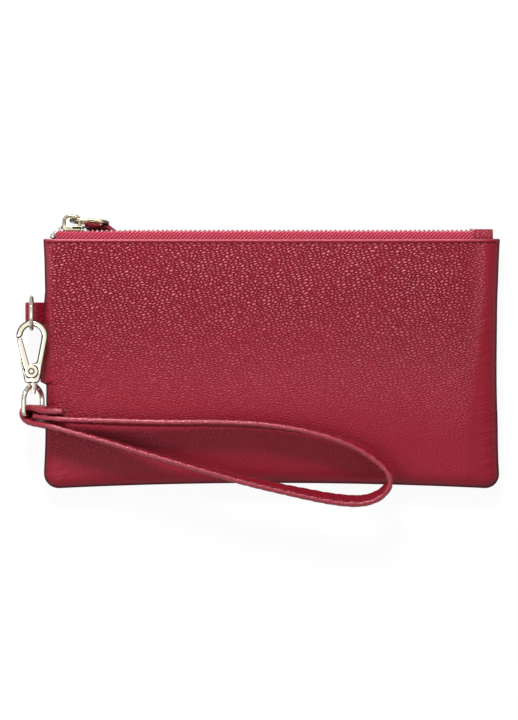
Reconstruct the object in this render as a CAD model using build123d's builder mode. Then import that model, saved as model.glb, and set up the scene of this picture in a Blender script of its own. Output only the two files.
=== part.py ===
from build123d import *
from math import cos, radians, sin, tan
import os

os.makedirs("parts", exist_ok=True)

# A leather wristlet lying on its back: +X along the zip, +Y towards the zip, +Z up, away from the
# surface it lies on.  The origin is the middle of the flat resting face.  All sizes are millimetres.

# ---- pouch body -------------------------------------------------------------------------------
panel_width = 200.0         # between the two side seams, at the top corners
panel_top = 54.0            # top edge of the panels, where the zip is sewn in
panel_bottom = -55.7        # bottom seam at the two bottom corners
side_hollow = 1.4           # how far the middle of each side seam bows inwards
bottom_hollow = 2.6         # how far the middle of the bottom seam bows inwards
corner_radius = 7.0
seam_height = 7.0           # height of the side and bottom seams above the resting face
leather = 1.2
glue_line = 0.15            # free space between two layers of the panels
interfacing = 0.5
lining = 0.4
tape_thickness = 0.5
board_top = 44.0            # top edge of the interfacing boards, just under the zip tapes
lining_drop = 0.5           # the linings end this far below the panels' top edge
front_crown = 11.0          # highest point of the front panel above the seam plane
rear_crown = 8.2            # the rear panel would bulge this far, but the resting face cuts it flat
edge_round = 5.4            # the panels turn into the side and bottom seams with this radius
crown_y = -5.0
front_shoulder = (40.0, 7.6)    # y and height where the front panel starts down to the mouth
rear_shoulder = (17.0, 7.5)     # y and depth where the rear panel leaves the resting face
rear_heel = (38.0, 4.8)         # y and depth where it runs level towards the mouth
mouth_half = 4.8            # half the outside thickness of the pouch at its mouth

# ---- zip --------------------------------------------------------------------------------------
chain_rise = 3.6            # middle of the tooth chain above the panels' top edge
tape_half = 4.6             # half the distance between the outsides of the two tapes at the chain
tooth_pitch = 2.04
tooth_length = 1.1          # along the chain
tooth_height = 2.2
tooth_inner = 0.6           # each row keeps this far from the middle plane
tooth_outer = 2.5
chain_left_inset = 6.0      # from the left side seam to the straight stretch of the chain
chain_right_inset = 11.8    # from the right end of the tapes to the right side seam
chain_bend = 2.4            # the left end of the chain turns down round this radius
bend_teeth = (35.0, 75.0)   # turn at which each tooth on that bend stands, degrees
end_tab_width = 8.5
end_tab_gap = 0.2
end_tab_half = 3.3          # half the end tab's thickness across the zip
end_tab_rise = 4.75         # its top above the panels' top edge
stop_length = 1.6
top_stop_length = 0.9
top_stop_rise = 1.0         # a top stop stands this far above the teeth
slider_length = 10.1
slider_inset = 7.3          # closed position: from the left side seam to the slider
slider_half = 3.5           # half width of the upper plate
lower_plate_half = 3.0
plate = 1.0
slider_play = 0.3           # running clearance of the slider on teeth and tapes
flange = 0.7
post_half = 0.3
post_length = 2.0
bridge_half = 0.9
bridge_bar = 1.0
bridge_leg = 1.2
bridge_rise = 5.0           # top of the bridge above the upper plate
bridge_length = 8.0

# ---- pull ring and leather pull tab -----------------------------------------------------------
ring_pivot_rise = 2.5       # pivot of the pull ring above the upper plate
pull_ring_length = 15.4     # along the middle of its band
pull_ring_width = 7.2
pull_ring_corner = 3.0
pull_band = 2.0
pull_band_thickness = 1.4
pull_dip = 4.0              # the ring points this many degrees down towards the teeth
pull_lean = 8.0             # and leans this many degrees backwards
tab_wrap_start = 5.6        # from the pivot to the leather wrap on the rear bar of the ring
tab_wrap_width = 6.8
tab_width = 8.0
tab_wrap_hole = 1.3
tab_ply = 0.6
tab_rest = 0.35             # height of the hanging end above the resting face
tab_slant = 54.0            # the hanging end runs this many degrees from -Y towards +X
tab_length = 24.0
tab_neck_back = 1.6         # the neck lies this far from the middle of the wrap, towards the pouch
tab_flare = 1.8             # the hanging end reaches this far past the wrap

# ---- side loop and ring -----------------------------------------------------------------------
loop_y = 21.8
loop_width = 9.6
loop_tunnel_half = 1.6      # half the tunnel's width, along X
loop_tunnel_height = 5.0
loop_gap = 0.6              # the loop's sewn root clears the side seam
ring_outset = 5.5           # from the left side seam out to the middle of the ring
ring_radius = 6.9           # to the middle of the wire
ring_wire = 0.95
ring_base = 9.0             # height of the middle of the wire where the ring lies in the loop

# ---- trigger snap -----------------------------------------------------------------------------
hook_thickness = 2.4
hook_bar = 2.3
hook_outer = 6.7            # outer radius of the round end
hook_clear = 0.45
hook_taper = 20.5           # from the centre of the round end to the flat foot
hook_foot = 6.4             # width of the foot
hook_opening_low = 12.2     # from the centre of the round end down to the foot of the opening
hook_opening_foot = 3.2
hook_opening_shift = 0.85   # the foot of the opening lies this far towards the pouch
gate_hub_drop = 15.5        # from the centre of the round end to the gate's rivet
gate_hub = 2.9
gate_hub_play = 0.3
gate_cheek = 0.45
tongue_half = 0.55          # half thickness of the body between the cheeks of the gate
gate_rivet_radius = 0.8
gate_rivet_play = 0.08
gate_tip_drop = 1.9         # the tip of the gate lies this far below the centre of the round end
gate_offset = 0.3           # the gate's rivet stands this far from the middle, away from the pouch
gate_open = 20.0            # the gate turns inwards by this many degrees
gate_gap = 0.35
gate_bar = 2.1
spring_pocket = 1.9
spring_wire = 0.18
spring_radius = 1.35
spring_turns = 1.5
spring_pitch = 0.4
pocket_floor = 0.3
rivet_head_radius = 1.4
rivet_head = 0.5
stem_radius = 1.0
stem_play = 0.25
stem_head = 1.6
stem_head_length = 2.2
stem_offset = 0.35          # the swivel stands this far from the middle of the snap, towards the pouch

# ---- swivel eye and wrist strap ---------------------------------------------------------------
eye_wire = 1.1
eye_width = 13.0            # between the middles of its two legs
eye_drop = 12.3             # from the middle of its top bar to the middle of its base bar
eye_corner = 1.5
eye_boss = 2.2              # length of the boss that the swivel rivet turns in
eye_boss_wall = 0.8
eye_gap = 0.35              # between the foot of the hook and the eye
eye_tilt = 36.87            # the strap leaves the eye rising at this angle
strap_width = 9.4
strap_thickness = 2.4

# ---- derived places ---------------------------------------------------------------------------
bottom_hem = bottom_hollow / 8       # the lengthwise profile starts just outside the bottom seam
side_hem = side_hollow / 8          # and the crosswise one just outside the side seams
mouth_run = 0.3                     # and runs on this far past the panels' top edge before it flares
mouth_flare = (tape_half + leather + glue_line - mouth_half) / chain_rise
chain_y = panel_top + chain_rise
chain_left = chain_left_inset - panel_width / 2
chain_right = panel_width / 2 - chain_right_inset
slider_left = slider_inset - panel_width / 2
ring_x = -panel_width / 2 - ring_outset
tooth_top = chain_y + tooth_height / 2
tooth_bottom = chain_y - tooth_height / 2
plate_low = tooth_top + slider_play
plate_top = plate_low + plate
slider_middle = slider_left + slider_length / 2
pivot = Vector(slider_left + 4.7, plate_top + ring_pivot_rise, seam_height)
end_tab_left = chain_right + end_tab_gap
ring_height = ring_base + ring_radius
hook_y = loop_y - ring_radius + ring_wire + hook_clear - (hook_outer - hook_bar)
hook_foot_y = hook_y - hook_taper
rivet_y = hook_y - gate_hub_drop
eye_top_y = hook_foot_y - eye_gap - eye_wire
hook_x = ring_x + 0.25
stem_x = hook_x + stem_offset
rivet_x = hook_x - gate_offset


def pouch_outline(inset, top):
    """Plan outline of the pouch, drawn inwards by inset and cut off straight at top."""
    half = panel_width / 2 - inset
    low = panel_bottom + inset
    middle = (panel_top + panel_bottom) / 2
    with BuildSketch() as plan:
        with BuildLine():
            ThreePointArc((half, panel_top), (half - side_hollow, middle), (half, low))
            ThreePointArc((half, low), (0, low + bottom_hollow), (-half, low))
            ThreePointArc((-half, low), (-half + side_hollow, middle), (-half, panel_top))
            Polyline((-half, panel_top), (-half, tooth_top), (half, tooth_top), (half, panel_top))
        make_face()
        fillet(plan.vertices().group_by(Axis.Y)[0], corner_radius - inset)
        with Locations((0, top - panel_width)):
            Rectangle(2 * panel_width, 2 * panel_width, mode=Mode.INTERSECT)
    return plan.sketch


def profile_along(side, inset):
    """Lengthwise profile of one half in the YZ plane: bottom seam, crown, shoulder, mouth, zip."""
    low = panel_bottom - bottom_hem
    start = (low + inset, 0)
    turn = (low + edge_round, edge_round - inset)
    mouth = (panel_top + mouth_run, mouth_half - inset)
    chain = (chain_y + tooth_height, mouth_half - inset + mouth_flare * (chain_rise + tooth_height))
    with BuildSketch(Plane.YZ) as sketch:
        with BuildLine():
            RadiusArc(start, turn, edge_round - inset)
            if side > 0:
                shoulder = (front_shoulder[0], front_shoulder[1] - inset)
                ThreePointArc(turn, (crown_y, front_crown - inset), shoulder)
                Line(shoulder, mouth)
            else:
                shoulder = (rear_shoulder[0], rear_shoulder[1] - inset)
                heel = (rear_heel[0], rear_heel[1] - inset)
                ThreePointArc(turn, (2 * crown_y, rear_crown - inset), shoulder)
                Polyline(shoulder, heel, mouth)
            Line(mouth, chain)
            Polyline(chain, (chain[0], 0), start)
        make_face()
    return sketch.sketch


def profile_across(side, inset):
    """Crosswise profile of one half in the XZ plane: the same arch from seam to seam."""
    half = panel_width / 2 + side_hem - inset
    crown = front_crown if side > 0 else rear_crown
    turn_x = panel_width / 2 + side_hem - edge_round
    turn_z = edge_round - inset
    with BuildSketch(Plane.XZ) as sketch:
        with BuildLine():
            RadiusArc((-half, 0), (-turn_x, turn_z), edge_round - inset)
            ThreePointArc((-turn_x, turn_z), (0, crown - inset), (turn_x, turn_z))
            RadiusArc((turn_x, turn_z), (half, 0), edge_round - inset)
            Line((half, 0), (-half, 0))
        make_face()
    return sketch.sketch


def pouch_half(side, inset, top):
    """Solid half of the pouch, drawn inwards from the outside of the leather by inset."""
    depth = front_crown if side > 0 else seam_height - inset
    with BuildPart() as half:
        extrude(pouch_outline(inset, top), amount=depth)
        extrude(profile_along(side, inset), amount=panel_width, both=True, mode=Mode.INTERSECT)
        extrude(profile_across(side, inset), amount=panel_width, both=True, mode=Mode.INTERSECT)
    placed = half.part if side > 0 else half.part.mirror(Plane.XY)
    return placed.moved(Location((0, 0, seam_height)))


def zip_region(grow):
    """Block below the zip's path: straight along the mouth, turning down at its left end."""
    level = chain_y + grow
    radius = chain_bend + grow
    low = board_top + glue_line
    with BuildSketch() as region:
        with BuildLine():
            Line((chain_right, low), (chain_right, level))
            Line((chain_right, level), (chain_left, level))
            RadiusArc((chain_left, level), (chain_left - radius, level - radius), -radius)
            Line((chain_left - radius, level - radius), (chain_left - radius, low))
            Line((chain_left - radius, low), (chain_right, low))
        make_face()
    return region.sketch


def row_places(shift):
    """Places of one row's teeth along the zip: x, y and turn in degrees."""
    first = chain_left + top_stop_length + tooth_pitch / 2 + shift
    last = chain_right - stop_length - tooth_length
    count = int((last - first) / tooth_pitch) + 1
    places = [(first + tooth_pitch * index, chain_y, 0.0) for index in range(count)]
    for turn in bend_teeth:
        x = chain_left - chain_bend * sin(radians(turn))
        y = chain_y - chain_bend * (1 - cos(radians(turn)))
        places.append((x, y, turn))
    return places


# ================================ pouch body ===================================================
layer_one = leather + glue_line
layer_two = layer_one + interfacing + glue_line
layer_three = layer_two + lining
over_top = panel_top + 2.0

with BuildPart() as front_panel:
    add(pouch_half(1, 0.0, panel_top))
    add(pouch_half(1, leather, over_top), mode=Mode.SUBTRACT)
front_panel.part.label = "front_panel"
export_step(front_panel.part, "parts/front_panel.step")

with BuildPart() as rear_panel:
    add(pouch_half(-1, 0.0, panel_top))
    add(pouch_half(-1, leather, over_top), mode=Mode.SUBTRACT)
rear_panel.part.label = "rear_panel"
export_step(rear_panel.part, "parts/rear_panel.step")

with BuildPart() as front_interfacing:
    add(pouch_half(1, layer_one, board_top))
    add(pouch_half(1, layer_one + interfacing, over_top), mode=Mode.SUBTRACT)
front_interfacing.part.label = "front_interfacing"
export_step(front_interfacing.part, "parts/front_interfacing.step")

with BuildPart() as rear_interfacing:
    add(pouch_half(-1, layer_one, board_top))
    add(pouch_half(-1, layer_one + interfacing, over_top), mode=Mode.SUBTRACT)
rear_interfacing.part.label = "rear_interfacing"
export_step(rear_interfacing.part, "parts/rear_interfacing.step")

with BuildPart() as front_lining:
    add(pouch_half(1, layer_two, panel_top - lining_drop))
    add(pouch_half(1, layer_three, over_top), mode=Mode.SUBTRACT)
front_lining.part.label = "front_lining"
export_step(front_lining.part, "parts/front_lining.step")

with BuildPart() as rear_lining:
    add(pouch_half(-1, layer_two, panel_top - lining_drop))
    add(pouch_half(-1, layer_three, over_top), mode=Mode.SUBTRACT)
rear_lining.part.label = "rear_lining"
export_step(rear_lining.part, "parts/rear_lining.step")


# ================================ zip ==========================================================
def zip_tape(side):
    """One tape: a leg inside the panel's top edge and a flat edge that meets the teeth."""
    with BuildPart() as leg:
        add(pouch_half(side, layer_one, tooth_top))
        add(pouch_half(side, layer_one + tape_thickness, tooth_top), mode=Mode.SUBTRACT)
        extrude(zip_region(0.0), amount=panel_width, mode=Mode.INTERSECT)
    with BuildPart() as edge:
        extrude(zip_region(tape_thickness / 2), amount=tape_half - tooth_outer)
        extrude(zip_region(-tape_thickness / 2), amount=panel_width, mode=Mode.SUBTRACT)
        with Locations((0, panel_top, 0)):
            Box(2 * panel_width, panel_width, panel_width, mode=Mode.SUBTRACT,
                align=(Align.CENTER, Align.MAX, Align.CENTER))
    inner = tooth_outer if side > 0 else -tape_half
    with BuildPart() as whole:
        add(leg.part)
        add(edge.part.moved(Location((0, 0, seam_height + inner))))
    return whole.part


for side, name, shift in ((1, "front", 0.0), (-1, "rear", tooth_pitch / 2)):
    with BuildPart() as tape:
        add(zip_tape(side))
    tape.part.label = "zip_tape_" + name
    export_step(tape.part, "parts/zip_tape_" + name + ".step")

    row_middle = seam_height + side * (tooth_inner + tooth_outer) / 2
    row_width = tooth_outer - tooth_inner
    with BuildPart() as row:
        with Locations(*[Location((x, y, row_middle), (0, 0, turn)) for x, y, turn in row_places(shift)]):
            Box(tooth_length, tooth_height, row_width)
    row.part.label = "zip_teeth_" + name
    export_step(row.part, "parts/zip_teeth_" + name + ".step")

    with BuildPart() as top_stop:
        with Locations((chain_left + top_stop_length / 2, tooth_bottom, row_middle)):
            Box(top_stop_length, tooth_height + top_stop_rise, row_width,
                align=(Align.CENTER, Align.MIN, Align.CENTER))
        fillet(top_stop.edges().group_by(Axis.Y)[-1], top_stop_length / 4)
    top_stop.part.label = "zip_top_stop_" + name
    export_step(top_stop.part, "parts/zip_top_stop_" + name + ".step")

with BuildPart() as zip_bottom_stop:
    with Locations((chain_right - stop_length / 2, chain_y, seam_height)):
        Box(stop_length, tooth_height + plate / 2, 2 * tooth_outer)
    fillet(zip_bottom_stop.edges().filter_by(Axis.Z), stop_length / 5)
zip_bottom_stop.part.label = "zip_bottom_stop"
export_step(zip_bottom_stop.part, "parts/zip_bottom_stop.step")

with BuildPart() as zip_end_tab:
    with BuildSketch(Plane.YZ.offset(end_tab_left)):
        tab_height = end_tab_rise - end_tab_gap
        with Locations((panel_top + end_tab_gap, seam_height)):
            Rectangle(tab_height, 2 * end_tab_half, align=(Align.MIN, Align.CENTER))
            Rectangle(tab_height - leather, 2 * (end_tab_half - leather),
                      align=(Align.MIN, Align.CENTER), mode=Mode.SUBTRACT)
    extrude(amount=end_tab_width)
    top_edges = zip_end_tab.edges().filter_by(Axis.X).group_by(Axis.Y)[-1]
    fillet(top_edges, leather * 0.8)
zip_end_tab.part.label = "zip_end_tab"
export_step(zip_end_tab.part, "parts/zip_end_tab.step")

# ---- slider: two plates joined by a post at its nose, side flanges and a bridge on top
with BuildPart() as slider_body:
    with Locations((slider_middle, plate_low, seam_height)):
        Box(slider_length, plate, 2 * slider_half, align=(Align.CENTER, Align.MIN, Align.CENTER))
    with Locations((slider_middle, tooth_bottom - slider_play, seam_height)):
        Box(slider_length, plate, 2 * lower_plate_half, align=(Align.CENTER, Align.MAX, Align.CENTER))
    fillet(slider_body.edges().filter_by(Axis.Y), slider_half / 3)
    tape_top = chain_y + tape_thickness / 2 + slider_play
    for turn in (-1, 1):
        with Locations((slider_middle, plate_low, seam_height + turn * (slider_half - flange / 2))):
            Box(slider_length * 0.7, plate_low - tape_top, flange,
                align=(Align.CENTER, Align.MAX, Align.CENTER))
    with Locations((slider_left + post_length, chain_y, seam_height)):
        Box(post_length, plate_low - tooth_bottom + slider_play, 2 * post_half)
    with BuildSketch(Plane.XY.offset(seam_height - bridge_half)):
        with Locations((pivot.X, plate_top)):
            RectangleRounded(bridge_length, 2 * bridge_rise, bridge_length * 0.35)
            RectangleRounded(bridge_length - 2 * bridge_leg, 2 * (bridge_rise - bridge_bar),
                             bridge_length * 0.2, mode=Mode.SUBTRACT)
            Rectangle(2 * bridge_length, 2 * bridge_rise, align=(Align.CENTER, Align.MAX),
                      mode=Mode.SUBTRACT)
    extrude(amount=2 * bridge_half)
slider_body.part.label = "slider_body"
export_step(slider_body.part, "parts/slider_body.step")

# ================================ pull ring and pull tab =======================================
along = Vector(cos(radians(pull_dip)), -sin(radians(pull_dip)), 0)
leaning = Vector(0, sin(radians(pull_lean)), cos(radians(pull_lean)))
ring_plane = Plane(origin=pivot + along * (pull_ring_length / 2), x_dir=along, z_dir=along.cross(leaning))

with BuildPart() as pull_ring:
    with BuildSketch(ring_plane):
        RectangleRounded(pull_ring_length + pull_band, pull_ring_width + pull_band,
                         pull_ring_corner + pull_band / 2)
        RectangleRounded(pull_ring_length - pull_band, pull_ring_width - pull_band,
                         pull_ring_corner - pull_band / 2, mode=Mode.SUBTRACT)
    extrude(amount=pull_band_thickness / 2, both=True)
    fillet(pull_ring.edges().group_by(Axis.Y)[0] + pull_ring.edges().group_by(Axis.Y)[-1], 0.3)
pull_ring.part.label = "pull_ring"
export_step(pull_ring.part, "parts/pull_ring.step")

wrap_start = pivot + along * tab_wrap_start - leaning * (pull_ring_width / 2)
wrap_radius = tab_wrap_hole + tab_ply
neck_low = tab_rest + tab_ply - wrap_start.Z
slant = Vector(sin(radians(tab_slant)), -cos(radians(tab_slant)), 0)
across = Vector(slant.Y, -slant.X, 0)
tab_corner = Vector(wrap_start.X + tab_wrap_width + tab_flare, wrap_start.Y + tab_ply, 0)

with BuildPart() as pull_tab:
    with BuildSketch(Plane(origin=wrap_start, x_dir=(0, 0, 1), z_dir=along)) as wrap:
        Circle(wrap_radius)
        with Locations((neck_low, tab_neck_back)):
            Circle(tab_ply)
        make_hull(wrap.edges())
        Circle(tab_wrap_hole, mode=Mode.SUBTRACT)
    extrude(amount=tab_wrap_width)
    with BuildSketch(Plane.XY.offset(tab_rest)):
        with BuildLine():
            far = tab_corner + slant * tab_length
            Polyline(
                (wrap_start.X, wrap_start.Y - tab_neck_back - tab_ply),
                (wrap_start.X, wrap_start.Y),
                (tab_corner.X, tab_corner.Y),
                (far.X, far.Y),
                ((far + across * tab_width).X, (far + across * tab_width).Y),
                ((tab_corner + across * tab_width).X, (tab_corner + across * tab_width).Y),
                close=True,
            )
        make_face()
    extrude(amount=2 * tab_ply)
pull_tab.part.label = "pull_tab"
export_step(pull_tab.part, "parts/pull_tab.step")

# ================================ side loop and ring ===========================================
side_edge = panel_width / 2 - side_hollow
loop_root = leather
tunnel_low = ring_base - ring_wire - slider_play
tunnel_middle = tunnel_low + loop_tunnel_height / 2
loop_hinge = Vector(-side_edge - loop_gap - loop_root, loop_y, seam_height)

with BuildPart() as side_loop:
    with BuildSketch(Plane.XZ.offset(-loop_y)) as loop_profile:
        with Locations((ring_x, tunnel_middle)):
            RectangleRounded(2 * (loop_tunnel_half + leather), loop_tunnel_height + 2 * leather,
                             loop_tunnel_half + leather / 2)
        with Locations((loop_hinge.X, loop_hinge.Z)):
            Circle(loop_root)
        make_hull(loop_profile.edges())
        with Locations((ring_x, tunnel_middle)):
            RectangleRounded(2 * loop_tunnel_half, loop_tunnel_height, loop_tunnel_half - leather / 3,
                             mode=Mode.SUBTRACT)
    extrude(amount=loop_width / 2, both=True)
side_loop.part.label = "side_loop"
export_step(side_loop.part, "parts/side_loop.step")

with BuildPart() as loop_ring:
    with Locations(Location((ring_x, loop_y, ring_height), (0, 90, 0))):
        Torus(ring_radius, ring_wire)
loop_ring.part.label = "loop_ring"
export_step(loop_ring.part, "parts/loop_ring.step")

# ================================ trigger snap =================================================
half_hook = hook_thickness / 2
cheek_low = half_hook - gate_cheek
tip = Vector(hook_x - hook_outer + gate_bar * 0.6, hook_y - gate_tip_drop)
heel = Vector(rivet_x - gate_hub * 0.72, rivet_y + gate_hub * 0.66)
hook_plane = Plane.XY.offset(ring_height)


def gate_bar_plan(grow, turn):
    """Plan of the gate's bar from its tip to its heel, grown by grow and turned about the rivet."""
    with BuildSketch() as bar:
        with Locations((tip.X - rivet_x, tip.Y - rivet_y)):
            Circle(gate_bar / 2 + grow)
        with Locations((heel.X - rivet_x, heel.Y - rivet_y)):
            Circle(gate_bar * 0.6 + grow)
        make_hull(bar.edges())
    return bar.sketch.moved(Location((0, 0, 0), (0, 0, -turn))).moved(Location((rivet_x, rivet_y, 0)))


with BuildPart() as hook_body:
    with BuildSketch(hook_plane) as outline:
        with Locations((hook_x, hook_y)):
            Circle(hook_outer)
        with Locations((hook_x, hook_foot_y)):
            RectangleRounded(hook_foot, hook_foot / 2, hook_foot / 5, align=(Align.CENTER, Align.MIN))
        make_hull(outline.edges())
        with BuildSketch(hook_plane, mode=Mode.SUBTRACT) as opening:
            with Locations((hook_x, hook_y)):
                Circle(hook_outer - hook_bar)
            foot_radius = hook_opening_foot / 2
            with Locations((hook_x + hook_opening_shift, hook_y - hook_opening_low + foot_radius)):
                Circle(foot_radius)
            make_hull(opening.edges())
    extrude(amount=half_hook, both=True)
    with BuildSketch(hook_plane) as swept:
        for step in range(5):
            add(gate_bar_plan(gate_gap, (gate_open + 2) * step / 4))
        with Locations((rivet_x, rivet_y)):
            Circle(gate_hub, mode=Mode.SUBTRACT)
    extrude(amount=half_hook, both=True, mode=Mode.SUBTRACT)
    for turn in (-1, 1):
        with Locations((rivet_x, rivet_y, ring_height + turn * (tongue_half + half_hook))):
            Cylinder(gate_hub + gate_hub_play, 2 * half_hook, mode=Mode.SUBTRACT)
    with Locations((rivet_x, rivet_y, ring_height)):
        Cylinder(gate_rivet_radius, hook_thickness, mode=Mode.SUBTRACT)
    with Locations((rivet_x, rivet_y, ring_height - tongue_half + pocket_floor)):
        Cylinder(spring_pocket, hook_thickness, mode=Mode.SUBTRACT,
                 align=(Align.CENTER, Align.CENTER, Align.MIN))
hook_body.part.label = "hook_body"
export_step(hook_body.part, "parts/hook_body.step")

# ---- gate: a channel whose two cheeks turn on the rivet, one on each side of the body's tongue
with BuildPart() as hook_gate:
    with BuildSketch(hook_plane):
        add(gate_bar_plan(0.0, 0.0))
    extrude(amount=half_hook, both=True)
    for turn in (-1, 1):
        with Locations((rivet_x, rivet_y, ring_height + turn * (half_hook - gate_cheek / 2))):
            Cylinder(gate_hub, gate_cheek)
    with Locations((rivet_x, rivet_y, ring_height)):
        Cylinder(gate_hub + gate_hub_play, 2 * cheek_low, mode=Mode.SUBTRACT)
        Cylinder(gate_rivet_radius + gate_rivet_play, hook_thickness, mode=Mode.SUBTRACT)
hook_gate.part.label = "hook_gate"
export_step(hook_gate.part, "parts/hook_gate.step")

with BuildPart() as gate_rivet:
    with Locations((rivet_x, rivet_y, ring_height)):
        Cylinder(gate_rivet_radius, hook_thickness + 2 * gate_rivet_play)
    for turn in (-1, 1):
        head_middle = ring_height + turn * (half_hook + gate_rivet_play + rivet_head / 2)
        with Locations((rivet_x, rivet_y, head_middle)):
            Cylinder(rivet_head_radius, rivet_head)
gate_rivet.part.label = "gate_rivet"
export_step(gate_rivet.part, "parts/gate_rivet.step")

with BuildPart() as gate_spring:
    spring_low = ring_height - tongue_half + pocket_floor + spring_wire
    with BuildLine(Plane(origin=(rivet_x, rivet_y, spring_low))) as coil:
        Helix(pitch=spring_pitch, height=spring_pitch * spring_turns, radius=spring_radius)
    with BuildSketch(Plane(origin=coil.line @ 0, z_dir=coil.line % 0)):
        Circle(spring_wire)
    sweep(path=coil.line)
gate_spring.part.label = "gate_spring"
export_step(gate_spring.part, "parts/gate_spring.step")

# ---- swivel: a rivet fixed in the snap's foot, turning in the boss of the eye
with BuildPart() as swivel_rivet:
    with BuildSketch(Plane.XY.offset(ring_height)):
        with BuildLine():
            stem_low = eye_top_y - eye_boss / 2 - stem_play
            Polyline(
                (stem_x, hook_foot_y),
                (stem_x + stem_radius, hook_foot_y),
                (stem_x + stem_radius, stem_low),
                (stem_x + stem_head, stem_low),
                (stem_x + stem_head * 0.7, stem_low - stem_head_length),
                (stem_x, stem_low - stem_head_length),
                close=True,
            )
        make_face()
    revolve(axis=Axis((stem_x, 0, ring_height), (0, 1, 0)))
swivel_rivet.part.label = "swivel_rivet"
export_step(swivel_rivet.part, "parts/swivel_rivet.step")

# ================================ swivel eye and wrist strap ===================================
rise = Vector(cos(radians(eye_tilt)), 0, sin(radians(eye_tilt)))
bar_axis = Vector(-rise.Z, 0, rise.X)
eye_middle = Vector(stem_x, eye_top_y, ring_height)
eye_plane = Plane(origin=eye_middle, x_dir=bar_axis, z_dir=bar_axis.cross(Vector(0, 1, 0)))

with BuildPart() as swivel_eye:
    half_eye = eye_width / 2
    with BuildLine(eye_plane) as eye_path:
        bow = ThreePointArc((half_eye, -half_eye), (0, 0), (-half_eye, -half_eye))
        base = FilletPolyline(bow @ 1, (-half_eye, -eye_drop), (half_eye, -eye_drop), bow @ 0,
                              radius=eye_corner)
    with BuildSketch(Plane(origin=eye_path.line @ 0, z_dir=eye_path.line % 0)):
        Circle(eye_wire)
    sweep(path=eye_path.line)
    with Locations(Location((stem_x, eye_top_y, ring_height), (90, 0, 0))):
        Cylinder(stem_radius + stem_play + eye_boss_wall, eye_boss)
        Cylinder(stem_radius + stem_play, 2 * eye_boss, mode=Mode.SUBTRACT)
swivel_eye.part.label = "swivel_eye"
export_step(swivel_eye.part, "parts/swivel_eye.step")

# The strap is one strip.  Its route: cut end of the tail, along the stitched neck, round the base
# bar of the eye, out along the lower run, round the far end of the loop, back along the upper run,
# and into the neck between the two other plies.
strap_route = [
    (-91.4, -21.7, 22.0), (-97.3, -20.8, 21.6), (-107.3, -18.9, 14.1), (-107.3, -25.3, 14.1),
    (-97.3, -27.5, 21.6), (-76.0, -33.3, 22.5), (-55.0, -39.6, 22.8), (-36.0, -45.3, 23.0),
    (-13.5, -51.3, 22.8), (9.0, -56.2, 22.4), (29.0, -60.2, 21.9), (42.8, -60.6, 21.6),
    (51.6, -55.4, 21.7), (52.2, -47.6, 21.9), (41.5, -38.0, 22.3), (24.0, -31.6, 22.8),
    (2.0, -27.6, 23.0), (-22.0, -26.1, 23.0), (-48.0, -26.4, 22.9), (-74.0, -25.6, 22.5),
    (-97.3, -24.5, 21.6), (-102.2, -23.1, 17.9),
]


def corner_radii(points):
    """Radius at each inner point: 0.45 of the shorter run over the tangent of half the turn."""
    radii = []
    for before, here, after in zip(points, points[1:], points[2:]):
        first = Vector(*here) - Vector(*before)
        second = Vector(*after) - Vector(*here)
        half_turn = radians(first.get_angle(second)) / 2
        radii.append(0.45 * min(first.length, second.length) / tan(half_turn))
    return radii


with BuildPart() as wrist_strap:
    with BuildLine() as route:
        FilletPolyline(*strap_route, radius=corner_radii(strap_route))
    with BuildSketch(Plane(origin=route.line @ 0, x_dir=(0, 0, 1), z_dir=route.line % 0)):
        Rectangle(strap_width, strap_thickness)
    sweep(path=route.line)
wrist_strap.part.label = "wrist_strap"
export_step(wrist_strap.part, "parts/wrist_strap.step")

strap_length = sum(edge.length for edge in route.edges())
print("strap length", round(strap_length, 1), "volume over section",
      round(wrist_strap.part.volume / (strap_width * strap_thickness), 1))
print("strap radii", [round(radius, 1) for radius in corner_radii(strap_route)])
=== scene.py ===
# %% [markdown]
# # A zippered leather wristlet, part by part
# The pouch is two leather panels sewn together round three sides and turned, with a metal zip in
# the open side. A leather loop at the left seam holds a ring, and a trigger snap on that ring
# carries the wrist strap. The fixed frame gives every place; this lesson adds the looks.

# %% Load the fixed frame
import math
import bmesh
import bpy
import numpy as np
from mathutils import Matrix, Vector, noise


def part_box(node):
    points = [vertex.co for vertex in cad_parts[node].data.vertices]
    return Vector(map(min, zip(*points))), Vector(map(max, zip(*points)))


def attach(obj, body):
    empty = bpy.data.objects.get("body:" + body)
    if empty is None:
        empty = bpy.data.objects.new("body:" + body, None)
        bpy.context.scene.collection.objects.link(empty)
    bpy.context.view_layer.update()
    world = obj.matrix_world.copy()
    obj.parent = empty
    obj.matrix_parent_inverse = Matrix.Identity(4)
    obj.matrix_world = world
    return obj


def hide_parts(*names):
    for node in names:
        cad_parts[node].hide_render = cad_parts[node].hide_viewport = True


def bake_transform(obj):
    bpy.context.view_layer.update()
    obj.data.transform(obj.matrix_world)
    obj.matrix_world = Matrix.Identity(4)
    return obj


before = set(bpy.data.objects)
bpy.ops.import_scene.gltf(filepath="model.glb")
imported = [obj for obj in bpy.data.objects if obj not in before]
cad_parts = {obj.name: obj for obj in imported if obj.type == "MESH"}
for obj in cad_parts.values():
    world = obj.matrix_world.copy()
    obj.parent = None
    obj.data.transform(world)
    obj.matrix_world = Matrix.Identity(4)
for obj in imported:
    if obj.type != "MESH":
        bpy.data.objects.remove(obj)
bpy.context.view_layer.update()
scene = bpy.context.scene
MM = 0.001

# %% [markdown]
# ## Camera, light and floor
# The pouch lies on its back and is seen from straight above, so the camera looks down -Z with the
# zip side up. It stands far off, which keeps the outline free of perspective. One soft lamp beyond
# the zip gives the gentle fall of light down the leather and picks out the grain near the zip. A
# weaker one fills the shadows.

# %% Camera
def placed(name, data):
    """A new object in the scene that shows this data."""
    thing = bpy.data.objects.new(name, data)
    scene.collection.objects.link(thing)
    return thing


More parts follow.
